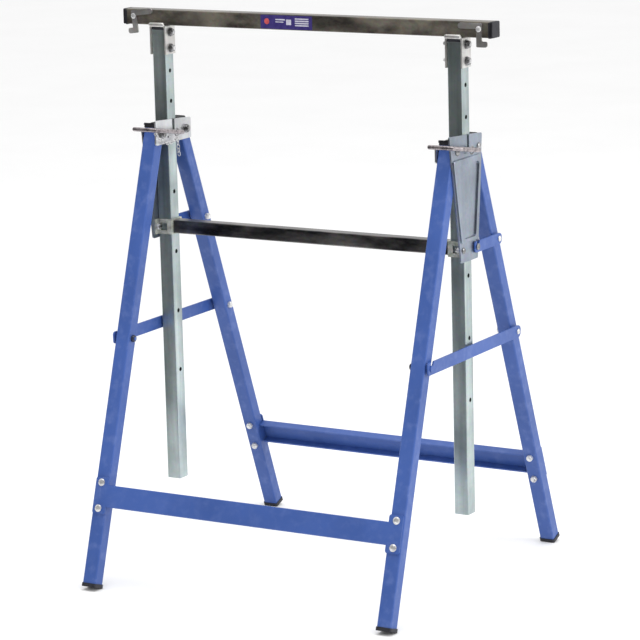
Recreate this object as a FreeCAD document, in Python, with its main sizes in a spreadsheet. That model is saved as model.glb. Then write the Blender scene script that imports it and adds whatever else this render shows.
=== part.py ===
import FreeCAD, Part
import math
import os
import re

# Folding sawhorse with a height-adjustable beam.
# Millimetres. X runs along the beam, front is -Y, +Z is up, the feet stand on Z = 0.

doc = FreeCAD.newDocument("folding_sawhorse")
os.makedirs("parts", exist_ok=True)

DIMENSIONS = (
    # beam
    ("beam_length", 666),
    ("beam_side", 25),
    ("beam_top", 911),
    ("cap_depth", 5),
    ("steel_wall", 1.5),
    ("corner_radius", 2.5),
    # masts
    ("mast_x", 271.5),
    ("mast_y", -20.6),
    ("mast_side", 25),
    ("mast_length", 753),
    ("hole_radius", 3.56),
    ("hole_pitch", 50),
    # saddles between beam and masts
    ("saddle_sheet", 2.5),
    ("saddle_depth", 29),
    ("saddle_height", 48),
    ("saddle_gap", 5),
    ("saddle_lip", 22),
    ("saddle_lip_radius", 3.6),
    ("saddle_bolt_high", 12),
    ("saddle_bolt_low", 38),
    # stop levers
    ("lever_x", 316),
    ("lever_drop", 11),
    ("lever_sheet", 2.5),
    ("lever_arm", 36),
    ("lever_width", 9),
    ("lever_stem", 28),
    ("lever_toe", 14),
    ("lever_gap", 0.3),
    ("lever_rest_angle", 7),
    ("rivet_radius", 3),
    # head plates and the guide below them
    ("pivot_y", 36),
    ("pivot_z", 711),
    ("plate_gap", 12.8),
    ("plate_sheet", 2.5),
    ("tall_rise", 27),
    ("low_rise", 6.5),
    ("outer_drop", 176),
    ("outer_top_front", 62),
    ("outer_top_rear", 48),
    ("outer_foot_width", 56),
    ("panel_rise", 2.6),
    ("inner_drop", 17),
    ("inner_width", 106),
    ("slot_radius", 3.6),
    ("guide_z", 554),
    ("guide_side", 22),
    ("clamp_height", 25),
    ("clamp_sheet", 3),
    ("ear_reach", 24.5),
    ("ear_bolt_y", 20.3),
    # legs
    ("front_angle", 17.9),
    ("rear_angle", 20.9),
    ("leg_width", 25),
    ("leg_depth", 22),
    ("leg_rise", 8),
    ("cap_neck", 4),
    ("cap_brim", 2),
    ("cap_lip", 5),
    ("foot_sheet", 1.2),
    ("foot_height", 6),
    ("hinge_radius", 4),
    # lower crossbars
    ("crossbar_z", 145),
    ("crossbar_height", 36),
    ("crossbar_tab", 60),
    ("crossbar_sheet", 2.5),
    ("flange_depth", 13),
    ("crossbar_bolt_step", 42),
    # braces
    ("strap_z", 391),
    ("strap_height", 20),
    ("stay_z", 554),
    ("stay_height", 18),
    ("brace_sheet", 2.5),
    ("brace_offset", 16.3),
    ("brace_bolt_radius", 3),
    ("spacer_radius", 5),
    # locking pins
    ("pin_radius", 3.5),
    ("pin_inside", 20),
    ("pin_outside", 36),
    ("handle_y", 68),
    ("handle_rise", 11),
    ("handle_inside", 16),
    ("handle_outside", 12),
)

sheet = doc.addObject("Spreadsheet::Sheet", "sizes")
for row, (alias, amount) in enumerate(DIMENSIONS, start=1):
    sheet.set("A%d" % row, alias)
    sheet.set("B%d" % row, str(amount))
    sheet.setAlias("B%d" % row, alias)
doc.recompute()

ALIAS = re.compile(r"\b(%s)\b" % "|".join(name for name, _ in DIMENSIONS))
X_AXIS = FreeCAD.Vector(1, 0, 0)
Y_AXIS = FreeCAD.Vector(0, 1, 0)
Z_AXIS = FreeCAD.Vector(0, 0, 1)
LEVEL = FreeCAD.Rotation()
TURNS = {
    "z": LEVEL,
    "-z": FreeCAD.Rotation(X_AXIS, 180),
    "x": FreeCAD.Rotation(Y_AXIS, 90),
    "-x": FreeCAD.Rotation(Y_AXIS, -90),
    "y": FreeCAD.Rotation(X_AXIS, -90),
    "-y": FreeCAD.Rotation(X_AXIS, 90),
}
SIDES = {"left": -1, "right": 1}
DOME_LATITUDE = 42
nodes = []


def size(name):
    return float(sheet.get(name))


def linked(formula):
    return ALIAS.sub(r"sizes.\1", str(formula))


def place(item, position=("0", "0", "0"), turn=LEVEL):
    item.Placement = FreeCAD.Placement(FreeCAD.Vector(), turn)
    for axis, formula in zip("xyz", position):
        item.setExpression("Placement.Base." + axis, linked(formula))
    return item


def primitive(kind, sizes, position, turn=LEVEL):
    item = doc.addObject("Part::" + kind, kind.lower())
    for name, formula in sizes.items():
        item.setExpression(name, linked(formula))
    return place(item, position, turn)


def box(spans):
    """Box given as three (start, length) pairs along X, Y and Z."""
    lengths = {name: span[1] for name, span in zip(("Length", "Width", "Height"), spans)}
    return primitive("Box", lengths, [span[0] for span in spans])


def centred(length):
    return ("-(%s) / 2" % length, length)


def rod(radius, length, position=("0", "0", "0"), axis="z"):
    return primitive("Cylinder", {"Radius": radius, "Height": length}, position, TURNS[axis])


def fuse(*items):
    result = doc.addObject("Part::MultiFuse", "fused")
    result.Shapes = list(items)
    return result


def cut(base, *tools):
    result = doc.addObject("Part::Cut", "cut")
    result.Base = base
    result.Tool = tools[0] if len(tools) == 1 else fuse(*tools)
    return result


def rounded(item, radius, axis, keep=lambda edge: True):
    """Fillet the straight edges that run along one axis."""
    doc.recompute()
    edges = []
    for number, edge in enumerate(item.Shape.Edges, start=1):
        along = edge.tangentAt(edge.FirstParameter)
        straight = edge.Curve.TypeId == "Part::GeomLine"
        if straight and abs(along.dot(axis)) > 0.999 and keep(edge.CenterOfMass):
            edges.append((number, radius, radius))
    result = doc.addObject("Part::Fillet", "rounded")
    result.Base = item
    result.Edges = edges
    return result


def rounded_rim(item, radius):
    """Fillet every edge round the face that looks along +X."""
    doc.recompute()
    top = item.Shape.BoundBox.XMax
    result = doc.addObject("Part::Fillet", "rounded")
    result.Base = item
    result.Edges = [
        (number, radius, radius)
        for number, edge in enumerate(item.Shape.Edges, start=1)
        if edge.BoundBox.XMin > top - 0.01
    ]
    return result


def group(*items):
    result = doc.addObject("Part::Compound", "group")
    result.Links = list(items)
    return result


def node(label, item, position=("0", "0", "0"), turn=LEVEL):
    x, y, z = position
    place(item, (x, "(%s) + mast_y" % y, z), turn)
    item.Label = label
    nodes.append(item)
    return item


def square_tube(width, depth, length):
    """Thin-walled tube along +Z, centred on the Z axis."""
    corner = size("corner_radius")
    outer = rounded(box((centred(width), centred(depth), ("0", length))), corner, Z_AXIS)
    hollow = box((
        centred(width + " - 2 * steel_wall"),
        centred(depth + " - 2 * steel_wall"),
        ("-1", length + " + 2"),
    ))
    bore = rounded(hollow, corner - size("steel_wall"), Z_AXIS)
    return cut(outer, bore)


def dome(radius, base):
    """Low domed cap along +Z with its flat side at the given height."""
    ball = "(%s) / cos(%d deg)" % (radius, DOME_LATITUDE)
    item = primitive("Sphere", {"Radius": ball},
                     ("0", "0", "%s - %s * sin(%d deg)" % (base, ball, DOME_LATITUDE)))
    item.Angle1 = DOME_LATITUDE
    return item


def bolt(head, shank, length, position=("0", "0", "0"), axis="z"):
    """Domed bolt: the head rises from the position, the shank runs back from it."""
    rim = rod(head, "1")
    stem = rod(shank, "%s + 0.5" % length, ("0", "0", "-(%s)" % length))
    return place(fuse(rim, dome(head, "1"), stem), position, TURNS[axis])


def nut(across, bore, height, position=("0", "0", "0"), axis="z"):
    """Hexagonal nut standing up from the position."""
    body = primitive("Prism", {"Circumradius": across, "Height": height}, ("0", "0", "0"))
    body.Polygon = 6
    body.FirstAngle = 0
    crown = primitive("Cone", {"Radius1": "%s * 1.18" % across, "Radius2": "%s * 0.84" % across,
                               "Height": height}, ("0", "0", "0"))
    shaped = doc.addObject("Part::MultiCommon", "chamfered")
    shaped.Shapes = [body, crown]
    hole = rod("%s + 0.05" % bore, "%s + 2" % height, ("0", "0", "-1"))
    return place(cut(shaped, hole), position, TURNS[axis])


def at_side(side, formula):
    return "%d * (%s)" % (SIDES[side], formula)


def mirrored(side, item):
    """Parts are drawn for the right frame; the left frame uses their mirror image."""
    if side == "right":
        return item
    flipped = doc.addObject("Part::Mirroring", "mirrored")
    flipped.Source = item
    flipped.Normal = X_AXIS
    flipped.Base = FreeCAD.Vector()
    return flipped


# ---- beam and masts -------------------------------------------------------------------

beam = square_tube("beam_side", "beam_side", "beam_length")
node("beam", beam, ("-beam_length / 2", "0", "beam_top - beam_side / 2"), TURNS["x"])

for side in SIDES:
    cap = rounded(box((("0", "cap_depth"), centred("beam_side"), centred("beam_side"))),
                  size("corner_radius"), X_AXIS)
    lip = rounded(box((("-2", "3"), centred("beam_side + 1.6"),
                       ("-beam_side / 2 - 0.8", "beam_side + 0.8"))),
                  size("corner_radius"), X_AXIS)
    opening = box((("-3", "3"), centred("beam_side + 0.1"),
                   ("-beam_side / 2 - 0.05", "beam_side + 2")))
    plug = box((("-14", "15"), centred("beam_side - 2 * steel_wall - 0.6"),
                centred("beam_side - 2 * steel_wall - 0.6")))
    collar = cut(lip, opening)
    node("beam_end_cap_" + side, mirrored(side, fuse(cap, collar, plug)),
         (at_side(side, "beam_length / 2"), "0", "beam_top - beam_side / 2"))

HOLE_STEPS = (0, 1, 2, 4, 6, 8, 10)
MAST_FOOT = "(beam_top - beam_side - saddle_sheet - saddle_gap - mast_length)"
for side in SIDES:
    mast = square_tube("mast_side", "mast_side", "mast_length")
    holes = [
        rod("hole_radius", "mast_side + 4",
            ("-mast_side / 2 - 2", "0",
             "pivot_z + (2 - %d) * hole_pitch - %s" % (step, MAST_FOOT)), "x")
        for step in HOLE_STEPS
    ]
    bolt_bores = [
        rod("brace_bolt_radius + 0.05", "mast_side + 4",
            ("-mast_side / 2 - 2", "0", "mast_length + saddle_gap + saddle_sheet - " + drop), "x")
        for drop in ("saddle_bolt_high", "saddle_bolt_low")
    ]
    node("mast_tube_" + side, cut(mast, *holes, *bolt_bores),
         (at_side(side, "mast_x"), "0", MAST_FOOT))

for side in SIDES:
    shell = rounded(box((centred("mast_side + 2 * saddle_sheet"), centred("saddle_depth"),
                         ("-saddle_height", "saddle_height"))),
                    2.4, Y_AXIS, lambda point: point.z > -1)
    inside = rounded(box((centred("mast_side"), centred("saddle_depth + 4"),
                          ("-saddle_height - 1", "saddle_height + 1 - saddle_sheet"))),
                     3.5, Y_AXIS, lambda point: point.z > -10)
    lip_y = "-beam_side / 2 - saddle_lip_radius - 0.4"
    shelf = box((centred("saddle_lip"), (lip_y, "saddle_depth / 2"),
                 ("-saddle_sheet", "saddle_sheet")))
    roll = rod("saddle_lip_radius", "saddle_lip",
               ("-saddle_lip / 2", lip_y, "saddle_lip_radius - saddle_sheet"), "x")
    roll_ends = [
        primitive("Sphere", {"Radius": "saddle_lip_radius"},
                  ("%d * saddle_lip / 2" % end, lip_y, "saddle_lip_radius - saddle_sheet"))
        for end in (-1, 1)
    ]
    bores = [
        rod("brace_bolt_radius + 0.05", "mast_side + 20",
            ("-mast_side / 2 - 10", "0", "-" + drop), "x")
        for drop in ("saddle_bolt_high", "saddle_bolt_low")
    ]
    node("saddle_bracket_" + side, cut(fuse(cut(shell, inside), shelf, roll, *roll_ends), *bores),
         (at_side(side, "mast_x"), "0", "beam_top - beam_side"))

    plug_depth = "mast_side - 2 * steel_wall - 0.6"
    plug = box((centred(plug_depth), centred(plug_depth), ("-1.2", "1.7")))
    crown = rounded(box((centred("mast_side"), centred("mast_side"), ("0", "saddle_gap - 0.3"))),
                    3.5, Y_AXIS, lambda point: point.z > 1)
    node("mast_top_cap_" + side, fuse(plug, crown),
         (at_side(side, "mast_x"), "0", "beam_top - beam_side - saddle_sheet - saddle_gap"))

SADDLE_DROPS = ("saddle_bolt_high", "saddle_bolt_low")
SADDLE_FLANK = "mast_side / 2 + saddle_sheet"
bolts = []
nuts = []
for drop in SADDLE_DROPS:
    low = "-" + drop
    bolts.append(bolt("brace_bolt_radius + 2.6", "brace_bolt_radius", "2 * (%s) + 8" % SADDLE_FLANK,
                      ("-mast_x - (%s)" % SADDLE_FLANK, "0", low), "-x"))
    bolts.append(rod("brace_bolt_radius", "2 * (%s) + 17" % SADDLE_FLANK,
                     ("mast_x - (%s) - 9" % SADDLE_FLANK, "0", low), "x"))
    for side in SIDES:
        flank = "%s + %s" % (at_side(side, "mast_x"), SADDLE_FLANK)
        washer = cut(rod("7.4", "1.2", (flank, "0", low), "x"),
                     rod("brace_bolt_radius + 0.05", "4", (flank + " - 1", "0", low), "x"))
        nuts += [washer, nut("6.2", "brace_bolt_radius", "5", (flank + " + 1.2", "0", low), "x")]
node("saddle_bolts", group(*bolts), ("0", "0", "beam_top - beam_side"))
node("saddle_nuts", group(*nuts), ("0", "0", "beam_top - beam_side"))

# ---- stop levers on the front of the beam ----------------------------------------------

for side in SIDES:
    half = "lever_width / 2"
    arm = box((("-lever_arm + lever_width / 2", "lever_arm"), ("0", "lever_sheet"),
               ("0", "lever_width")))
    tip = rod(half, "lever_sheet", ("-lever_arm + lever_width / 2", "0", half), "y")
    stem = box((("-" + half, "lever_width"), ("0", "lever_sheet"),
                ("-lever_stem", "lever_stem + lever_width")))
    toe = box((("-" + half, "lever_toe + lever_width / 2"), ("0", "lever_sheet"),
               ("-lever_stem", "lever_width")))
    blank = rounded(fuse(arm, tip, stem, toe), 3.5, Y_AXIS, lambda point: point.x > 6)
    blank = rounded(blank, 1.5, Y_AXIS, lambda point: point.x < 6 and (point.x > 0 or point.z < -1))
    bore = rod("rivet_radius + 0.08", "lever_sheet + 2", ("0", "-1", "0"), "y")
    tilt = size("lever_rest_angle") if side == "left" else 0
    node("stop_lever_" + side, mirrored(side, cut(blank, bore)),
         (at_side(side, "lever_x"), "-beam_side / 2 - lever_gap - lever_sheet",
          "beam_top - lever_drop"),
         FreeCAD.Rotation(Y_AXIS, -tilt))

rivets = [
    bolt("rivet_radius + 1.5", "rivet_radius", "lever_sheet + 2 * lever_gap",
         (at_side(side, "lever_x"), "0", "0"), "-y")
    for side in SIDES
]
node("lever_rivets", group(*rivets),
     ("0", "-beam_side / 2 - lever_sheet - 2 * lever_gap", "beam_top - lever_drop"))

# ---- head plates, guide bar and clamps --------------------------------------------------

# On each mast the plate on the +X side stands taller than the one on the -X side.
RISES = {"left": {"outer": "low_rise", "inner": "tall_rise - 3"},
         "right": {"outer": "tall_rise", "inner": "low_rise"}}
TOP_FRONT = {"left": "outer_top_rear + 2", "right": "outer_top_front"}
TOP_SLOPE = 3.8
PLATE_TURN = FreeCAD.Rotation(Y_AXIS, 90) * FreeCAD.Rotation(Z_AXIS, 90)


def trapezium(bottom, top, level, height, start, thickness):
    """Upright sheet with its lower and upper edges given as (front, rear) positions."""
    return primitive(
        "Wedge",
        {"Xmin": bottom[0], "Xmax": bottom[1], "Ymin": "0", "Ymax": height,
         "Zmin": "0", "Zmax": thickness, "X2min": top[0], "X2max": top[1],
         "Z2min": "0", "Z2max": thickness},
        (start, "0", level), PLATE_TURN)


def sloped_top(front, rise):
    """Tool that trims the top of a plate so that it falls towards the rear."""
    block = box((("-20", "40"), ("-20", "200"), ("0", "60")))
    return place(group(block), ("0", "-(%s)" % front, rise),
                 FreeCAD.Rotation(X_AXIS, -TOP_SLOPE))


for side in SIDES:
    rise = RISES[side]["outer"]
    plate = trapezium(("-outer_foot_width / 2", "outer_foot_width / 2"),
                      ("-(%s)" % TOP_FRONT[side], "outer_top_rear"),
                      "-outer_drop", "outer_drop + " + rise, "0", "plate_sheet")
    if rise == "tall_rise":
        plate = cut(plate, sloped_top("outer_top_front", rise))
    plate = rounded(plate, 3, X_AXIS)
    pad = trapezium(("-29", "27"), ("9 - (%s)" % TOP_FRONT[side], "41"),
                    "-145", "133", "plate_sheet - 1", "panel_rise + 1")
    pad = rounded_rim(rounded(pad, 5, X_AXIS), 1.2)
    dish = trapezium(("-21", "18"), ("25 - (%s)" % TOP_FRONT[side], "33"),
                     "-139", "117", "plate_sheet - 2", "12")
    frame = cut(pad, rounded(dish, 6, X_AXIS))
    openings = [
        rod("hinge_radius + 0.05", "plate_sheet + 4", ("-1", "%d * pivot_y" % end, "0"), "x")
        for end in (-1, 1)
    ]
    openings.append(rod("slot_radius", "plate_sheet + 4", ("-1", "0", "0"), "x"))
    openings.append(box((("-1", "plate_sheet + 4"), centred("2 * slot_radius"),
                         ("0", "tall_rise + 2"))))
    openings += [
        rod("brace_bolt_radius + 0.05", "plate_sheet + 4",
            ("-1", "%d * ear_bolt_y" % end, "stay_z - pivot_z"), "x")
        for end in (-1, 1)
    ]
    node("head_plate_outer_" + side, mirrored(side, cut(fuse(plate, frame), *openings)),
         (at_side(side, "mast_x + plate_gap"), "0", "pivot_z"))

    rise = RISES[side]["inner"]
    slab = box((("-plate_sheet", "plate_sheet"), centred("inner_width"),
                ("-inner_drop", "inner_drop + " + rise)))
    if rise != "low_rise":
        slab = cut(slab, sloped_top("inner_width / 2", rise))
    slab = rounded(slab, 3, X_AXIS)
    openings = [
        rod("hinge_radius + 0.05", "plate_sheet + 4",
            ("-plate_sheet - 1", "%d * pivot_y" % end, "0"), "x")
        for end in (-1, 1)
    ]
    openings.append(rod("slot_radius", "plate_sheet + 4", ("-plate_sheet - 1", "0", "0"), "x"))
    openings.append(rod("2", "plate_sheet + 4", ("-plate_sheet - 1", "-17", "-7"), "x"))
    openings.append(box((("-plate_sheet - 1", "plate_sheet + 4"), centred("2 * slot_radius"),
                         ("0", "tall_rise + 2"))))
    node("head_plate_inner_" + side, mirrored(side, cut(slab, *openings)),
         (at_side(side, "mast_x - plate_gap"), "0", "pivot_z"))

OUTWARD = {"left": "-x", "right": "x"}
INWARD = {"left": "x", "right": "-x"}
HINGE_SPAN = "2 * plate_gap + 2 * plate_sheet"
hinges = [(side, "%d * pivot_y" % end) for side in SIDES for end in (-1, 1)]
bolts = [
    bolt("hinge_radius + 1.8", "hinge_radius", HINGE_SPAN + " + 7",
         (at_side(side, "mast_x + plate_gap + plate_sheet"), y, "0"), OUTWARD[side])
    for side, y in hinges
]
node("hinge_bolts", group(*bolts), ("0", "0", "pivot_z"))
nuts = [
    nut("7.2", "hinge_radius", "5.5",
        (at_side(side, "mast_x - plate_gap - plate_sheet"), y, "0"), INWARD[side])
    for side, y in hinges
]
node("hinge_nuts", group(*nuts), ("0", "0", "pivot_z"))

guide_end = "mast_x - plate_gap - clamp_sheet"
guide = square_tube("guide_side", "guide_side", "2 * (%s)" % guide_end)
node("guide_crossbar", guide, ("-(%s)" % guide_end, "0", "guide_z"), TURNS["x"])

for side in SIDES:
    wall = "clamp_sheet"
    back = box((("-plate_gap - clamp_sheet", wall), centred("2 * plate_gap + 2 * clamp_sheet"),
                centred("clamp_height")))
    arms = [
        box((("-plate_gap - 1", "2 * plate_gap + 1"),
             (start, wall), centred("clamp_height")))
        for start in ("-plate_gap - clamp_sheet", "plate_gap")
    ]
    ears = [
        box((("plate_gap - clamp_sheet", wall), (start, "ear_reach - plate_gap"),
             centred("clamp_height")))
        for start in ("-ear_reach", "plate_gap")
    ]
    shape = rounded(fuse(back, *arms, *ears), 2, Z_AXIS,
                    lambda point: point.x < -size("plate_gap") - 1)
    bores = [
        rod("brace_bolt_radius + 0.05", "clamp_sheet + 4",
            ("plate_gap - clamp_sheet - 1", "%d * ear_bolt_y" % end, "stay_z - guide_z"), "x")
        for end in (-1, 1)
    ]
    window = box((centred("clamp_height / 2"), ("-ear_reach", "2 * plate_gap - clamp_sheet"),
                  centred("clamp_height / 2")))
    node("guide_clamp_" + side, mirrored(side, cut(shape, *bores, window)),
         (at_side(side, "mast_x"), "0", "guide_z"))

EAR_FACE = "mast_x + plate_gap + plate_sheet"
bolts = [
    bolt("brace_bolt_radius + 2", "brace_bolt_radius", "plate_sheet + clamp_sheet + 8",
         (at_side(side, EAR_FACE), "0", "0"), OUTWARD[side])
    for side in SIDES
]
node("clamp_bolts", group(*bolts), ("0", "-ear_bolt_y", "stay_z"))
studs = []
for side in SIDES:
    neck = rod("brace_bolt_radius", "plate_sheet + clamp_sheet + 9.2",
               ("0", "0", "-plate_sheet - clamp_sheet - 5"))
    flange = rod("brace_bolt_radius + 2", "0.8")
    head = rod("brace_bolt_radius + 2.2", "1.6", ("0", "0", "3.9"))
    studs.append(place(fuse(neck, flange, head), (at_side(side, EAR_FACE), "0", "0"),
                       TURNS[OUTWARD[side]]))
node("stay_studs", group(*studs), ("0", "ear_bolt_y", "stay_z"))
nuts = [
    nut("5", "brace_bolt_radius", "5",
        (at_side(side, "mast_x + plate_gap - clamp_sheet"), "%d * ear_bolt_y" % end, "0"),
        INWARD[side])
    for side in SIDES for end in (-1, 1)
]
node("clamp_nuts", group(*nuts), ("0", "0", "stay_z"))

# ---- leg frames -------------------------------------------------------------------------
# Everything on a leg is drawn with the hinge at the origin, the leg running down -Z and
# its outer face towards -Y.  The rear frame is the front frame turned about Z.

FRONT_LEAN = FreeCAD.Rotation(X_AXIS, -size("front_angle"))
REAR_LEAN = FreeCAD.Rotation(Z_AXIS, 180) * FreeCAD.Rotation(X_AXIS, -size("rear_angle"))
ENDS = {"front": (-1, FRONT_LEAN), "rear": (1, REAR_LEAN)}


def down_leg(end, level):
    """Distance along a leg from its hinge down to a level above the floor."""
    return "((pivot_z - %s) / cos(%s_angle * 1 deg))" % (level, end)


def out_from_mast(end, level):
    """Distance of a leg's centre line from the mast at a level above the floor."""
    return "(pivot_y + (pivot_z - %s) * tan(%s_angle * 1 deg))" % (level, end)


STRAP_DROP = {end: down_leg(end, "strap_z") for end in ENDS}
STAY_DROP = down_leg("rear", "stay_z")

for end, (facing, turn) in ENDS.items():
    hinge_y = "%d * pivot_y" % facing
    reach = down_leg(end, "(leg_depth / 2 + foot_sheet) * sin(%s_angle * 1 deg)" % end)
    crossbar_drop = down_leg(end, "crossbar_z")
    bolt_drops = ["%s %s crossbar_bolt_step / 2" % (crossbar_drop, sign) for sign in "-+"]
    for side in SIDES:
        hinge = (at_side(side, "mast_x"), hinge_y, "pivot_z")
        tube = square_tube("leg_width", "leg_depth", reach + " + leg_rise - foot_sheet - 3")
        place(tube, ("0", "0", "-%s + foot_sheet + 3" % reach))
        bores = [rod("hinge_radius + 0.05", "leg_width + 4", ("-leg_width / 2 - 2", "0", "0"), "x")]
        bores += [
            rod("brace_bolt_radius + 0.05", "leg_depth + 4",
                ("0", "-leg_depth / 2 - 2", "-(%s)" % drop), "y")
            for drop in bolt_drops
        ]
        bores.append(rod("brace_bolt_radius + 0.05", "leg_width + 4",
                         ("-leg_width / 2 - 2", "0", "-" + STRAP_DROP[end]), "x"))
        if end == "rear":
            bores.append(rod("brace_bolt_radius + 0.05", "leg_width + 4",
                             ("-leg_width / 2 - 2", "0", "-" + STAY_DROP), "x"))
        node("%s_leg_%s" % (end, side), cut(tube, *bores), hinge, turn)

        shoe = rounded(box((centred("leg_width + 2 * foot_sheet"),
                            centred("leg_depth + 2 * foot_sheet"),
                            ("-" + reach, "foot_height"))), 3, Z_AXIS)
        pocket = box((centred("leg_width + 0.1"), centred("leg_depth + 0.1"),
                      ("-%s + foot_sheet + 3" % reach, "foot_height")))
        heel = box((centred("leg_width - 2 * steel_wall - 0.6"),
                    centred("leg_depth - 2 * steel_wall - 0.6"), ("-%s + 1" % reach, "18")))
        node("%s_foot_cap_%s" % (end, side), fuse(cut(shoe, pocket), heel), hinge, turn)

        crown_depth = ("-leg_depth / 2 - cap_lip", "leg_depth + cap_lip + 1")
        neck = rounded(box((centred("leg_width"), crown_depth, ("leg_rise", "cap_neck + 0.5"))),
                       6, Z_AXIS)
        brim = rounded(box((("-leg_width / 2 - cap_brim", "leg_width + cap_brim"), crown_depth,
                            ("leg_rise + cap_neck", "3"))), 7, Z_AXIS)
        # The brim reaches over the low plate, which is on the -X side of every leg.
        brim = mirrored("right" if end == "front" else "left", brim)
        swell = dome("leg_depth / 2 - 0.2", "leg_rise + cap_neck + 2.5")
        stopper = box((centred("leg_width - 2 * steel_wall - 0.6"),
                       centred("leg_depth - 2 * steel_wall - 0.6"), ("leg_rise - 3.5", "4.5")))
        node("%s_top_cap_%s" % (end, side), fuse(neck, brim, swell, stopper), hinge, turn)

    middle = ("0", hinge_y, "pivot_z")
    face = "-leg_depth / 2 - crossbar_sheet"
    inner_half = "(mast_x - leg_width / 2 - 1)"
    web = box((centred("2 * %s + 2" % inner_half), (face, "crossbar_sheet"),
               ("-%s - crossbar_height / 2" % crossbar_drop, "crossbar_height")))
    flanges = [
        box((centred("2 * " + inner_half), (face, "flange_depth + crossbar_sheet"),
             (start, "crossbar_sheet")))
        for start in ("-%s - crossbar_height / 2" % crossbar_drop,
                      "-%s + crossbar_height / 2 - crossbar_sheet" % crossbar_drop)
    ]
    channel = rounded(fuse(web, *flanges), 2.2, X_AXIS,
                      lambda point: point.y < -size("leg_depth") / 2 - size("crossbar_sheet") + 0.1)
    tabs = [
        rounded(box(((start, "leg_width - 0.5"), (face, "crossbar_sheet"),
                     ("-%s - crossbar_tab / 2" % crossbar_drop, "crossbar_tab"))), 4, Y_AXIS)
        for start in ("-mast_x - leg_width / 2 + 1.5", "mast_x - leg_width / 2 - 1")
    ]
    spots = [
        ("%d * mast_x" % sign, drop) for sign in SIDES.values() for drop in bolt_drops
    ]
    bores = [
        rod("brace_bolt_radius + 0.05", "crossbar_sheet + 4",
            (x, face + " - 2", "-(%s)" % drop), "y")
        for x, drop in spots
    ]
    node(end + "_crossbar", cut(fuse(channel, *tabs), *bores), middle, turn)
    bolts = [
        bolt("brace_bolt_radius + 3", "brace_bolt_radius", "leg_depth + crossbar_sheet + 6",
             (x, face, "-(%s)" % drop), "-y")
        for x, drop in spots
    ]
    node(end + "_crossbar_bolts", group(*bolts), middle, turn)
    nuts = [
        nut("5.8", "brace_bolt_radius", "5", (x, "leg_depth / 2", "-(%s)" % drop), "y")
        for x, drop in spots
    ]
    node(end + "_crossbar_nuts", group(*nuts), middle, turn)

# ---- braces -----------------------------------------------------------------------------

LEG_FACE = "leg_width / 2"
BRACE_GAP = "0.2"


def brace(length, tail, height, angles):
    """Flat bar from its hinge hole at the origin along -Y to an open hook notch."""
    bar = box((("0", "brace_sheet"), ("-(%s) - %s" % (length, tail), "%s + %s" % (length, tail)),
               centred(height)))
    bar = rounded(bar, 5, X_AXIS, lambda point: point.y < -size("pivot_y"))
    eye = rod(height + " / 2", "brace_sheet", ("0", "0", "0"), "x")
    bore = rod("brace_bolt_radius + 0.05", "brace_sheet + 2", ("-1", "0", "0"), "x")
    seat = rod("brace_bolt_radius + 0.1", "brace_sheet + 2", ("-1", "-(%s)" % length, "0"), "x")
    notches = []
    for angle in angles:
        notch = box((("-1", "brace_sheet + 2"), centred("2 * brace_bolt_radius + 0.2"),
                     ("0", height)))
        carrier = group(notch)
        turn = FreeCAD.Rotation(X_AXIS, -angle)
        notches.append(place(carrier, ("0", "-(%s)" % length, "0"), turn))
    return cut(fuse(bar, eye), bore, seat, *notches)


strap_y = out_from_mast("rear", "strap_z")
stay_y = out_from_mast("rear", "stay_z")
strap_length = "%s + %s" % (strap_y, out_from_mast("front", "strap_z"))
BRACES = {
    "brace_strap": (strap_y, "strap_z", strap_length, "10", "strap_height", (21, 25, 29)),
    "stay_link": (stay_y, "stay_z", stay_y + " - ear_bolt_y", "8", "stay_height", (16, 22, 29)),
}
for name, (hinge_y, hinge_z, length, tail, height, angles) in BRACES.items():
    for side in SIDES:
        node("%s_%s" % (name, side), mirrored(side, brace(length, tail, height, angles)),
             (at_side(side, "mast_x + brace_offset"), hinge_y, hinge_z))

# The rear frame is turned about Z, so its own X runs the other way.
pivots = [(side, drop) for side in SIDES for drop in (STRAP_DROP["rear"], STAY_DROP)]
BRACE_TOP = "brace_offset + brace_sheet + " + BRACE_GAP
bolts = [
    bolt("brace_bolt_radius + 1.6", "brace_bolt_radius", "%s + %s + 6" % (BRACE_TOP, LEG_FACE),
         (at_side(side, "-mast_x - (%s)" % BRACE_TOP), "0", "-" + drop), INWARD[side])
    for side, drop in pivots
]
node("pivot_bolts", group(*bolts), ("0", "pivot_y", "pivot_z"), REAR_LEAN)
nuts = [
    nut("5.8", "brace_bolt_radius", "5",
        (at_side(side, "-mast_x + " + LEG_FACE), "0", "-" + drop), OUTWARD[side])
    for side, drop in pivots
]
node("pivot_nuts", group(*nuts), ("0", "pivot_y", "pivot_z"), REAR_LEAN)
spacers = []
for side, drop in pivots:
    ring = rod("spacer_radius", "brace_offset - %s - %s" % (BRACE_GAP, LEG_FACE))
    hole = rod("brace_bolt_radius + 0.05", "brace_offset", ("0", "0", "-1"))
    spacers.append(place(cut(ring, hole), (at_side(side, "-mast_x - " + LEG_FACE), "0",
                                           "-" + drop), TURNS[INWARD[side]]))
node("pivot_spacers", group(*spacers), ("0", "pivot_y", "pivot_z"), REAR_LEAN)

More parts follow.
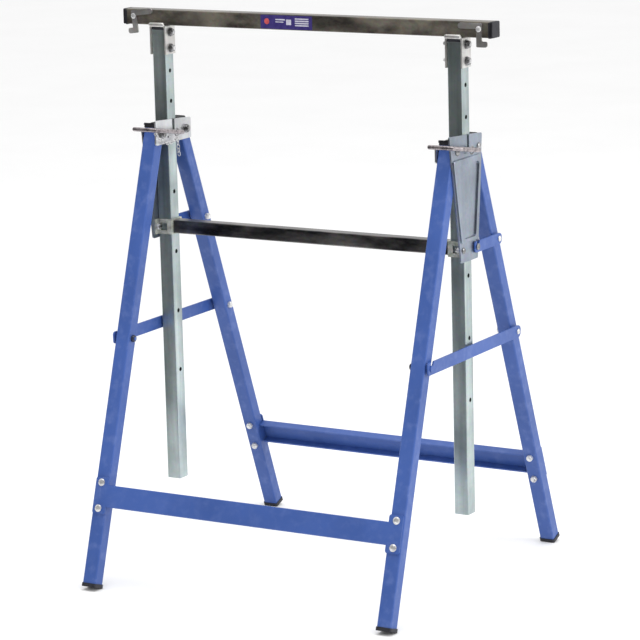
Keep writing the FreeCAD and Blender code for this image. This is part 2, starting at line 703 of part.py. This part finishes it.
pins = []
for side in SIDES:
    stem = rod("brace_bolt_radius", "leg_width + brace_offset + brace_sheet - %s + 7" % LEG_FACE,
               ("0", "0", "-leg_width - 6"))
    collar = rod("spacer_radius", "brace_offset - %s - %s" % (BRACE_GAP, LEG_FACE))
    head = rod("brace_bolt_radius + 2.2", "1.6", ("0", "0", "%s - %s" % (BRACE_TOP, LEG_FACE)))
    pins.append(place(fuse(stem, collar, head),
                      (at_side(side, "mast_x + " + LEG_FACE), "0", "-" + STRAP_DROP["front"]),
                      TURNS[OUTWARD[side]]))
node("strap_hook_pins", group(*pins), ("0", "-pivot_y", "pivot_z"), FRONT_LEAN)
nuts = [
    nut("5.8", "brace_bolt_radius", "5",
        (at_side(side, "mast_x - " + LEG_FACE), "0", "-" + STRAP_DROP["front"]), INWARD[side])
    for side in SIDES
]
node("strap_hook_nuts", group(*nuts), ("0", "-pivot_y", "pivot_z"), FRONT_LEAN)

# ---- locking pins -----------------------------------------------------------------------


def bent_rod(points, radius):
    """Round bar through a list of points, with ball joints at the bends."""
    pieces = []
    for start, stop in zip(points, points[1:]):
        run = stop - start
        piece = primitive("Cylinder", {"Radius": radius}, ("0", "0", "0"))
        piece.Height = run.Length
        for axis in "xyz":
            piece.setExpression("Placement.Base." + axis, None)
        piece.Placement = FreeCAD.Placement(start, FreeCAD.Rotation(Z_AXIS, run))
        pieces.append(piece)
    for point in points[1:]:
        ball = doc.addObject("Part::Sphere", "bend")
        ball.setExpression("Radius", linked(radius))
        ball.Placement = FreeCAD.Placement(point, LEVEL)
        pieces.append(ball)
    return fuse(*pieces)


PIN_PATH = [
    FreeCAD.Vector(-size("pin_inside"), 0, 0),
    FreeCAD.Vector(size("pin_outside") - 5, 0, 0),
    FreeCAD.Vector(size("pin_outside"), -5, 0.5),
    FreeCAD.Vector(size("pin_outside"), -14, 1.5),
    FreeCAD.Vector(size("pin_outside") - 4, -size("handle_y") + 12, size("handle_rise") - 2),
    FreeCAD.Vector(size("handle_outside") + 11, -size("handle_y") + 2, size("handle_rise") - 0.5),
    FreeCAD.Vector(size("handle_outside") + 2, -size("handle_y"), size("handle_rise")),
    FreeCAD.Vector(-size("handle_inside"), -size("handle_y"), size("handle_rise")),
]
for side in SIDES:
    node("locking_pin_" + side, bent_rod(PIN_PATH, "pin_radius"),
         (at_side(side, "mast_x"), "0", "pivot_z"))
    ring = primitive("Torus", {"Radius1": "pin_radius + 2.6", "Radius2": "1.1"},
                     ("0", "0", "0"))
    node("pin_ring_" + side, ring,
         (at_side(side, "mast_x") + " + 22", "0", "pivot_z - 1.2"), TURNS["x"])

# ---- check and write --------------------------------------------------------------------

doc.recompute()
for item in doc.Objects:
    assert "Invalid" not in item.State and "Error" not in item.State, (item.Name, item.State)
    if hasattr(item, "Shape"):
        assert not item.Shape.isNull(), item.Label
        assert item.Shape.isValid(), item.Label

lowest = math.inf
for item in nodes:
    lowest = min(lowest, item.Shape.BoundBox.ZMin)
    item.Shape.exportStep("parts/%s.step" % item.Label)
    print("%-26s solids %d volume %9.1f" % (item.Label, len(item.Shape.Solids), item.Shape.Volume))
print("%d parts, lowest point %.4f" % (len(nodes), lowest))
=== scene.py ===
import math

import bmesh
import bpy
from mathutils import Matrix, Vector


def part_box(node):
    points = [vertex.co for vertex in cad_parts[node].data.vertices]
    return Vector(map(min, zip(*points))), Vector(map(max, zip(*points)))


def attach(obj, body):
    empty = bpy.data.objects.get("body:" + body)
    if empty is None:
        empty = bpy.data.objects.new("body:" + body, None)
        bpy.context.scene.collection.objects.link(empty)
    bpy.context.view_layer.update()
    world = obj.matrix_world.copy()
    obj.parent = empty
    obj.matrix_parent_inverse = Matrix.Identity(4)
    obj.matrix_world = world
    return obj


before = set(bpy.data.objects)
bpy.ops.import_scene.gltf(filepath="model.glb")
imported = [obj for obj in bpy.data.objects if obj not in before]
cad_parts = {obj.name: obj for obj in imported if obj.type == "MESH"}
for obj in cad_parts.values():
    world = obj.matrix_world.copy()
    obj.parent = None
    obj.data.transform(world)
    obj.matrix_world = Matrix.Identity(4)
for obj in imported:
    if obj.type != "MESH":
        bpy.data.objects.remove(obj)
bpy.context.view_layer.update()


# ---- materials --------------------------------------------------------------------------

# Sockets of the colour mix node: factor, first and second colour, and the mixed colour.
MIX_INPUTS = (0, 6, 7)
MIX_RESULT = 2
STAIN_SHADE = 0.72
EDGE_LIGHTENING = 3


class Nodes:
    """Small helper for building one material's node tree."""

    def __init__(self, name):
        self.material = bpy.data.materials.new(name)
        self.material.use_nodes = True
        self.tree = self.material.node_tree
        self.shader = self.tree.nodes["Principled BSDF"]
        self.place = self.add("ShaderNodeTexCoord").outputs["Object"]

    def add(self, kind, **settings):
        item = self.tree.nodes.new(kind)
        for key, setting in settings.items():
            setattr(item, key, setting)
        return item

    def link(self, source, target):
        self.tree.links.new(source, target)

    def texture(self, kind, scale, stretch=(1, 1, 1)):
        """A texture in object space, stretched along the axes."""
        mapping = self.add("ShaderNodeMapping")
        mapping.inputs["Scale"].default_value = stretch
        self.link(self.place, mapping.inputs["Vector"])
        item = self.add(kind)
        item.inputs["Scale"].default_value = scale
        self.link(mapping.outputs["Vector"], item.inputs["Vector"])
        return item

    def noise(self, scale, detail=4.0, roughness=0.55, stretch=(1, 1, 1)):
        item = self.texture("ShaderNodeTexNoise", scale, stretch)
        item.inputs["Detail"].default_value = detail
        item.inputs["Roughness"].default_value = roughness
        return item.outputs["Fac"]

    def cells(self, scale):
        return self.texture("ShaderNodeTexVoronoi", scale).outputs["Color"]

    def ramp(self, source, *stops):
        item = self.add("ShaderNodeValToRGB")
        ramp = item.color_ramp
        while len(ramp.elements) < len(stops):
            ramp.elements.new(0.5)
        for element, (position, colour) in zip(ramp.elements, stops):
            element.position = position
            element.color = (*colour, 1)
        self.link(source, item.inputs["Fac"])
        return item.outputs["Color"]

    def spread(self, source, low, high, start=0.0, stop=1.0):
        item = self.add("ShaderNodeMapRange")
        item.inputs["From Min"].default_value = start
        item.inputs["From Max"].default_value = stop
        item.inputs["To Min"].default_value = low
        item.inputs["To Max"].default_value = high
        self.link(source, item.inputs["Value"])
        return item.outputs["Result"]

    def mix(self, factor, first, second, blend="MIX"):
        """Blend two colours; each input is a socket or a constant."""
        item = self.add("ShaderNodeMix", data_type="RGBA", blend_type=blend)
        for index, source in zip(MIX_INPUTS, (factor, first, second)):
            if isinstance(source, (int, float)):
                item.inputs[index].default_value = source
            elif isinstance(source, tuple):
                item.inputs[index].default_value = (*source, 1)
            else:
                self.link(source, item.inputs[index])
        return item.outputs[MIX_RESULT]

    def edges(self, start=0.52, stop=0.62):
        """1 along convex edges, 0 elsewhere."""
        geometry = self.add("ShaderNodeNewGeometry")
        return self.spread(geometry.outputs["Pointiness"], 0, 1, start, stop)

    def bump(self, source, distance, strength, after=None):
        item = self.add("ShaderNodeBump")
        item.inputs["Strength"].default_value = strength
        item.inputs["Distance"].default_value = distance
        self.link(source, item.inputs["Height"])
        if after is not None:
            self.link(after, item.inputs["Normal"])
        return item.outputs["Normal"]

    def finish(self, colour, roughness, normal, **constants):
        self.link(colour, self.shader.inputs["Base Color"])
        self.link(roughness, self.shader.inputs["Roughness"])
        self.link(normal, self.shader.inputs["Normal"])
        for key, number in constants.items():
            self.shader.inputs[key.replace("_", " ")].default_value = number
        return self.material


def shaded(colour, factor):
    return tuple(part * factor for part in colour)


def zinc_plate(name, dark, light, streak, metallic=0.88, spread=0.2):
    """Electroplated steel: streaks along the tube, soft spangle, dull patches."""
    tree = Nodes(name)
    streaks = tree.noise(26, 6, 0.62, streak)
    clouds = tree.noise(14, 3, 0.5)
    spangle = tree.cells(240)
    middle = tuple((a + b) / 2 for a, b in zip(dark, light))
    base = tree.ramp(streaks, (0.5 - spread, dark), (0.5, middle), (0.5 + spread, light))
    tinted = tree.mix(0.10, base, spangle, "SOFT_LIGHT")
    stained = tree.mix(tree.spread(clouds, 0, 0.5, 0.45, 0.7), tinted,
                       shaded(dark, STAIN_SHADE))
    rough = tree.spread(streaks, 0.26, 0.46, 0.3, 0.75)
    grain = tree.bump(tree.noise(620, 2, 0.5, streak), 0.00012, 0.25)
    wave = tree.bump(clouds, 0.0012, 0.35, grain)
    return tree.finish(stained, rough, wave, Metallic=metallic)


def powder_coat(name, base, deep, speck_and_highlight_colour):
    """Powder coat: orange peel, slight colour drift, pale specks, and a thin painted highlight
    along the edges.
    """
    tree = Nodes(name)
    drift = tree.noise(7, 3, 0.5)
    fine = tree.noise(90, 4, 0.6)
    colour = tree.ramp(drift, (0.35, deep), (0.65, base))
    speck = tree.mix(tree.spread(fine, 0, 0.10, 0.55, 0.75), colour, speck_and_highlight_colour)
    # Painted highlight: a paler blue along the convex edges, broken up by noise.
    edge_highlight_mask = tree.add("ShaderNodeMath", operation="MULTIPLY")
    tree.link(tree.edges(0.54, 0.66), edge_highlight_mask.inputs[0])
    tree.link(tree.spread(tree.noise(60, 3), 0, 0.55, 0.5, 0.7), edge_highlight_mask.inputs[1])
    lightened_edges = tree.mix(edge_highlight_mask.outputs[0], speck, speck_and_highlight_colour)
    rough = tree.spread(fine, 0.34, 0.5, 0.35, 0.7)
    peel = tree.bump(tree.noise(420, 2, 0.4), 0.0002, 0.3)
    return tree.finish(lightened_edges, rough, peel, Metallic=0.0, Coat_Weight=0.08,
                       Coat_Roughness=0.3, Specular_IOR_Level=0.35)


def moulded_plastic(name, base, scuff):
    """Injection-moulded plastic: fine grain, scuffs, lighter convex edges."""
    tree = Nodes(name)
    grain = tree.noise(900, 3, 0.6)
    patches = tree.noise(40, 4, 0.6)
    colour = tree.ramp(patches, (0.4, base), (0.8, scuff))
    # Lighter colour along the convex edges.
    lightened_edges = tree.mix(tree.spread(tree.edges(), 0, 0.35), colour,
                      shaded(scuff, EDGE_LIGHTENING))
    rough = tree.spread(patches, 0.38, 0.6, 0.3, 0.7)
    texture = tree.bump(grain, 0.00015, 0.5)
    return tree.finish(lightened_edges, rough, texture, Metallic=0.0, Specular_IOR_Level=0.3)


def turned_steel(name, base, dull, metallic):
    """Bolts, nuts and pins: fine grain with dull stains."""
    tree = Nodes(name)
    stains = tree.noise(120, 4, 0.6)
    colour = tree.ramp(stains, (0.35, dull), (0.6, base))
    rough = tree.spread(stains, 0.2, 0.42, 0.3, 0.7)
    grain = tree.bump(tree.noise(1400, 2, 0.5), 0.00008, 0.3)
    return tree.finish(colour, rough, grain, Metallic=metallic)


def sticker_face(name, base, pale):
    """Printed film: slight drift in colour and gloss."""
    tree = Nodes(name)
    drift = tree.noise(160, 3, 0.5)
    colour = tree.ramp(drift, (0.35, base), (0.8, pale))
    rough = tree.spread(drift, 0.3, 0.42, 0.3, 0.7)
    grain = tree.bump(tree.noise(700, 2), 0.00005, 0.3)
    return tree.finish(colour, rough, grain, Metallic=0.0)


def finishes(maker, **settings):
    """Materials by name, each made from its own list of values."""
    return {name: maker(name, *values) for name, values in settings.items()}


ALONG_X = (0.3, 1, 1)
ALONG_Z = (1, 1, 0.06)
SHEET = (1, 1, 0.3)
# Values in the order each maker takes them. For zinc these are the dark and light colour and the
# stretch of the streaks, then metallic and spread where they differ from the maker's own.
MATERIALS = {
    **finishes(
        zinc_plate,
        beam_zinc=((0.035, 0.030, 0.026), (0.20, 0.18, 0.145), (0.5, 1, 1), 0.4, 0.12),
        bar_zinc=((0.03, 0.03, 0.035), (0.28, 0.27, 0.26), ALONG_X, 0.88, 0.14),
        mast_zinc=((0.26, 0.32, 0.32), (0.70, 0.79, 0.79), ALONG_Z),
        plate_zinc=((0.24, 0.275, 0.33), (0.40, 0.45, 0.53), SHEET),
        inner_zinc=((0.50, 0.51, 0.53), (0.82, 0.83, 0.85), SHEET),
        saddle_zinc=((0.46, 0.45, 0.43), (0.84, 0.83, 0.81), SHEET, 0.7),
        clamp_zinc=((0.30, 0.31, 0.27), (0.66, 0.68, 0.62), (2, 2, 2), 0.4, 0.12),
        lever_zinc=((0.28, 0.27, 0.26), (0.68, 0.66, 0.64), (0.6, 1, 0.6), 0.75),
    ),
    **finishes(
        powder_coat,
        blue_coat=((0.047, 0.106, 0.36), (0.036, 0.086, 0.30), (0.13, 0.19, 0.44)),
    ),
    **finishes(
        moulded_plastic,
        black_plastic=((0.008, 0.008, 0.011), (0.022, 0.022, 0.027)),
    ),
    **finishes(
        turned_steel,
        bright_steel=((0.78, 0.78, 0.78), (0.46, 0.46, 0.47), 0.5),
        pin_steel=((0.42, 0.38, 0.39), (0.16, 0.14, 0.15), 0.8),
        dull_steel=((0.40, 0.40, 0.41), (0.14, 0.14, 0.14), 0.9),
        dark_steel=((0.06, 0.065, 0.09), (0.02, 0.02, 0.03), 0.5),
    ),
    **finishes(
        sticker_face,
        sticker_blue=((0.028, 0.018, 0.13), (0.045, 0.03, 0.19)),
        sticker_pale=((0.42, 0.41, 0.50), (0.60, 0.59, 0.66)),
        sticker_red=((0.42, 0.05, 0.06), (0.55, 0.09, 0.09)),
    ),
}
# The first entry whose text is in a node's name gives its material.
KEYS = (
    ("beam_end_cap", "black_plastic"),
    ("foot_cap", "black_plastic"),
    ("top_cap", "black_plastic"),
    ("strap_hook_nuts", "dark_steel"),
    ("strap_hook_pins", "blue_coat"),
    ("saddle_nuts", "dull_steel"),
    ("hinge", "dull_steel"),
    ("clamp_bolts", "dull_steel"),
    ("stud", "dull_steel"),
    ("locking_pin", "pin_steel"),
    ("pin_ring", "dull_steel"),
    ("stop_lever", "lever_zinc"),
    ("saddle_bracket", "saddle_zinc"),
    ("head_plate_inner", "inner_zinc"),
    ("bolt", "bright_steel"),
    ("nut", "bright_steel"),
    ("rivet", "bright_steel"),
    ("spacer", "bright_steel"),
    ("head_plate", "plate_zinc"),
    ("guide_clamp", "clamp_zinc"),
    ("guide_crossbar", "bar_zinc"),
    ("mast_tube", "mast_zinc"),
    ("beam", "beam_zinc"),
    ("", "blue_coat"),
)


def paint(item, key):
    item.data.materials.clear()
    item.data.materials.append(MATERIALS[key])


for name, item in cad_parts.items():
    paint(item, next(key for part, key in KEYS if part in name))


# ---- sticker and tether chain -----------------------------------------------------------

CORNER_SEGMENTS = 6
# The sticker's edges along the beam and below its top, and its corners and thickness.
STICKER_LEFT, STICKER_RIGHT = -0.0755, 0.0195
STICKER_TOP, STICKER_BOTTOM = 0.0015, 0.0235
STICKER_CORNER, STICKER_THICKNESS = 0.0015, 0.0002
MARK_CORNER, MARK_THICKNESS = 0.0005, 0.0001
# A chain link's outer loop, its wire radius, the step between links and the mesh detail.
LINK_LENGTH, LINK_WIDTH, LINK_WIRE, LINK_PITCH = 0.0072, 0.0046, 0.0006, 0.0056
LINK_STEPS, WIRE_SIDES = 18, 8
CHAIN_SAG, CHAIN_STEPS = 0.012, 16


def mesh_object(name, mesh, key, body):
    item = bpy.data.objects.new(name, mesh)
    bpy.context.collection.objects.link(item)
    paint(item, key)
    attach(item, body)
    return item


def finished_mesh(mesh, name):
    bmesh.ops.recalc_face_normals(mesh, faces=mesh.faces)
    data = bpy.data.meshes.new(name)
    mesh.to_mesh(data)
    mesh.free()
    return data


def rounded_slab(name, low, high, radius, depth):
    """Flat rounded rectangle in XZ, raised towards -Y from low.y."""
    mesh = bmesh.new()
    left, right = low.x + radius, high.x - radius
    bottom, top = low.z + radius, high.z - radius
    corners = []
    centres = ((right, top, 0), (left, top, 90), (left, bottom, 180), (right, bottom, 270))
    for cx, cz, start in centres:
        for step in range(CORNER_SEGMENTS + 1):
            angle = math.radians(start + 90 * step / CORNER_SEGMENTS)
            corners.append((cx + radius * math.cos(angle), cz + radius * math.sin(angle)))
    back = [mesh.verts.new((x, low.y, z)) for x, z in corners]
    front = [mesh.verts.new((x, low.y - depth, z)) for x, z in corners]
    mesh.faces.new(front)
    mesh.faces.new(list(reversed(back)))
    for index in range(len(corners)):
        after = (index + 1) % len(corners)
        mesh.faces.new((back[index], back[after], front[after], front[index]))
    return finished_mesh(mesh, name)


beam_low, beam_high = (Vector(corner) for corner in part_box("beam"))
sticker = rounded_slab("beam_sticker",
                       Vector((STICKER_LEFT, beam_low.y, beam_high.z - STICKER_BOTTOM)),
                       Vector((STICKER_RIGHT, beam_low.y, beam_high.z - STICKER_TOP)),
                       STICKER_CORNER, STICKER_THICKNESS)
mesh_object("beam_sticker", sticker, "sticker_blue", "mast")

# Plain shapes on the sticker, with no lettering: left, right, top and bottom of each.
STICKER_MARKS = [
    ("sticker_red", -0.0685, -0.0595, 0.0070, 0.0165),
    ("sticker_pale", -0.0480, -0.0300, 0.0075, 0.0095),
    ("sticker_pale", -0.0480, -0.0330, 0.0115, 0.0130),
    ("sticker_pale", -0.0280, -0.0190, 0.0080, 0.0165),
]
STICKER_MARKS += [
    ("sticker_pale", -0.0120, 0.0130, 0.0055 + 0.0035 * row, 0.0075 + 0.0035 * row)
    for row in range(4)
]
mark_y = beam_low.y - STICKER_THICKNESS
for number, (key, left, far, top, bottom) in enumerate(STICKER_MARKS):
    name = "sticker_mark_%d" % number
    radius = (far - left) / 2.1 if key == "sticker_red" else MARK_CORNER
    mark = rounded_slab(name, Vector((left, mark_y, beam_high.z - bottom)),
                        Vector((far, mark_y, beam_high.z - top)), radius, MARK_THICKNESS)
    mesh_object(name, mark, key, "mast")


def chain_link(mesh, centre, along, side):
    """One oval link, long axis along, lying in the along/side plane."""
    along = along.normalized()
    side = (side - along * side.dot(along)).normalized()
    up = along.cross(side)
    radius = LINK_WIDTH / 2
    half = (LINK_LENGTH - LINK_WIDTH) / 2
    rings = []
    for step in range(LINK_STEPS):
        angle = 2 * math.pi * step / LINK_STEPS
        c, s = math.cos(angle), math.sin(angle)
        point = centre + side * (radius * s) + along * (radius * c + math.copysign(half, c))
        outward = (side * s + along * c).normalized()
        rings.append([
            mesh.verts.new(point + LINK_WIRE * (outward * math.cos(turn) + up * math.sin(turn)))
            for turn in (2 * math.pi * k / WIRE_SIDES for k in range(WIRE_SIDES))
        ])
    for first, second in zip(rings, rings[1:] + rings[:1]):
        for index in range(WIRE_SIDES):
            after = (index + 1) % WIRE_SIDES
            mesh.faces.new((first[index], second[index], second[after], first[after]))


def chain(name, points, body):
    """Links strung evenly along the points, each turned a quarter from the last."""
    mesh = bmesh.new()
    lengths = [(b - a).length for a, b in zip(points, points[1:])]
    total = sum(lengths)
    count = int(total / LINK_PITCH)
    for index in range(count):
        distance = (index + 0.5) * total / count
        for start, stop, length in zip(points, points[1:], lengths):
            if distance <= length:
                break
            distance -= length
        along = stop - start
        side = Vector((0, 0, 1)).cross(along)
        if index % 2:
            side = along.cross(side)
        chain_link(mesh, start + along.normalized() * distance, along, side)
    data = finished_mesh(mesh, name)
    data.shade_smooth()
    return mesh_object(name, data, "bright_steel", body)


def hanging(start, stop):
    """Points of a sagging line from start to stop."""
    return [
        start.lerp(stop, t) - Vector((0, 0, 4 * CHAIN_SAG * t * (1 - t)))
        for t in (k / CHAIN_STEPS for k in range(CHAIN_STEPS + 1))
    ]


ring_low, ring_high = (Vector(corner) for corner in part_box("pin_ring_left"))
ring_end = Vector((ring_low.x + 0.0011, (ring_low.y + ring_high.y) / 2, ring_low.z - 0.002))
handle_low, handle_high = (Vector(corner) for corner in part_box("locking_pin_left"))
handle_end = Vector((handle_high.x - 0.0165, handle_low.y + 0.0045, handle_high.z - 0.0095))
chain("tether_chain_left", hanging(handle_end, ring_end), "pin_left")
chain("tether_tail_left", [ring_end, ring_end - Vector((0, -0.004, 0.03))], "pin_left")


# ---- stage ------------------------------------------------------------------------------

FLOOR_REACH = 40
# The flag's left and right edge, the plane it stands in, and its lower and upper edge.
FLAG_LEFT, FLAG_RIGHT, FLAG_Y = -5, 1.2, -0.75
FLAG_LOW, FLAG_HIGH = 0.005, 2.4


def stage_sheet(name, corners):
    mesh = bpy.data.meshes.new(name)
    mesh.from_pydata(corners, [], [(0, 1, 2, 3)])
    item = bpy.data.objects.new(name, mesh)
    bpy.context.collection.objects.link(item)
    return item


def matt_sheet(name, scale, dark, light, rough, bump):
    """Near-plain matt surface; dark and light are grey levels."""
    tree = Nodes(name)
    drift = tree.noise(scale, 3)
    colour = tree.ramp(drift, (0.3, (dark,) * 3), (0.7, (light,) * 3))
    return tree.finish(colour, tree.spread(drift, *rough), tree.bump(drift, *bump))


floor = stage_sheet("floor", [(-FLOOR_REACH, -FLOOR_REACH, 0), (FLOOR_REACH, -FLOOR_REACH, 0),
                              (FLOOR_REACH, FLOOR_REACH, 0), (-FLOOR_REACH, FLOOR_REACH, 0)])
floor.data.materials.append(
    matt_sheet("pale_floor", 3, 0.93, 0.95, rough=(0.8, 0.9), bump=(0.0001, 0.1)))

world = bpy.data.worlds.new("studio")
bpy.context.scene.world = world
world.use_nodes = True
background = world.node_tree.nodes["Background"]
background.inputs["Color"].default_value = (1, 1, 1, 1)
background.inputs["Strength"].default_value = 1.0


def area_light(name, position, target, extent, power):
    lamp = bpy.data.lights.new(name, "AREA")
    lamp.size = extent
    lamp.energy = power
    item = bpy.data.objects.new(name, lamp)
    item.location = position
    aim = Vector(target) - Vector(position)
    item.rotation_euler = aim.to_track_quat("-Z", "Y").to_euler()
    bpy.context.collection.objects.link(item)


area_light("key_right", (3.2, 0.2, 1.9), target=(0, 0, 0.5), extent=1.6, power=36)
area_light("top_soft", (0.3, -0.4, 3.4), target=(0, 0, 0.4), extent=2.2, power=40)

# A dark studio flag at the front left, seen only in reflections on the metal.
flag = stage_sheet("studio_flag", [(FLAG_LEFT, FLAG_Y, FLAG_LOW), (FLAG_RIGHT, FLAG_Y, FLAG_LOW),
                                   (FLAG_RIGHT, FLAG_Y, FLAG_HIGH), (FLAG_LEFT, FLAG_Y, FLAG_HIGH)])
flag.data.materials.append(
    matt_sheet("flag_cloth", 8, 0.03, 0.05, rough=(0.9, 1.0), bump=(0.001, 0.2)))
flag.visible_camera = False
flag.visible_diffuse = False
flag.visible_transmission = False
flag.visible_shadow = False
bpy.context.scene.view_settings.view_transform = "Standard"

# ---- camera -----------------------------------------------------------------------------

# Angles in radians, position in metres, focal length in pixels of the 640-pixel frame.
YAW, PITCH, ROLL = 0.5309, 0.2065, -0.0255
POSITION = Vector((2.4581, -4.1856, 1.4290))
FOCAL_PIXELS = 3056.0
FRAME_PIXELS = 640
SENSOR_WIDTH = 36
CLIP_END = 200

camera_data = bpy.data.cameras.new("camera")
camera_data.sensor_width = SENSOR_WIDTH
camera_data.lens = FOCAL_PIXELS / FRAME_PIXELS * SENSOR_WIDTH
camera_data.clip_end = CLIP_END
camera = bpy.data.objects.new("camera", camera_data)
bpy.context.collection.objects.link(camera)
forward = Vector((-math.sin(YAW) * math.cos(PITCH), math.cos(YAW) * math.cos(PITCH),
                  -math.sin(PITCH)))
level = Vector((math.cos(YAW), math.sin(YAW), 0))
upright = level.cross(forward)
right = level * math.cos(ROLL) + upright * math.sin(ROLL)
up = upright * math.cos(ROLL) - level * math.sin(ROLL)
place = Matrix((right, up, -forward)).transposed().to_4x4()
place.translation = POSITION
camera.matrix_world = place
bpy.context.scene.camera = camera

bpy.context.view_layer.update()
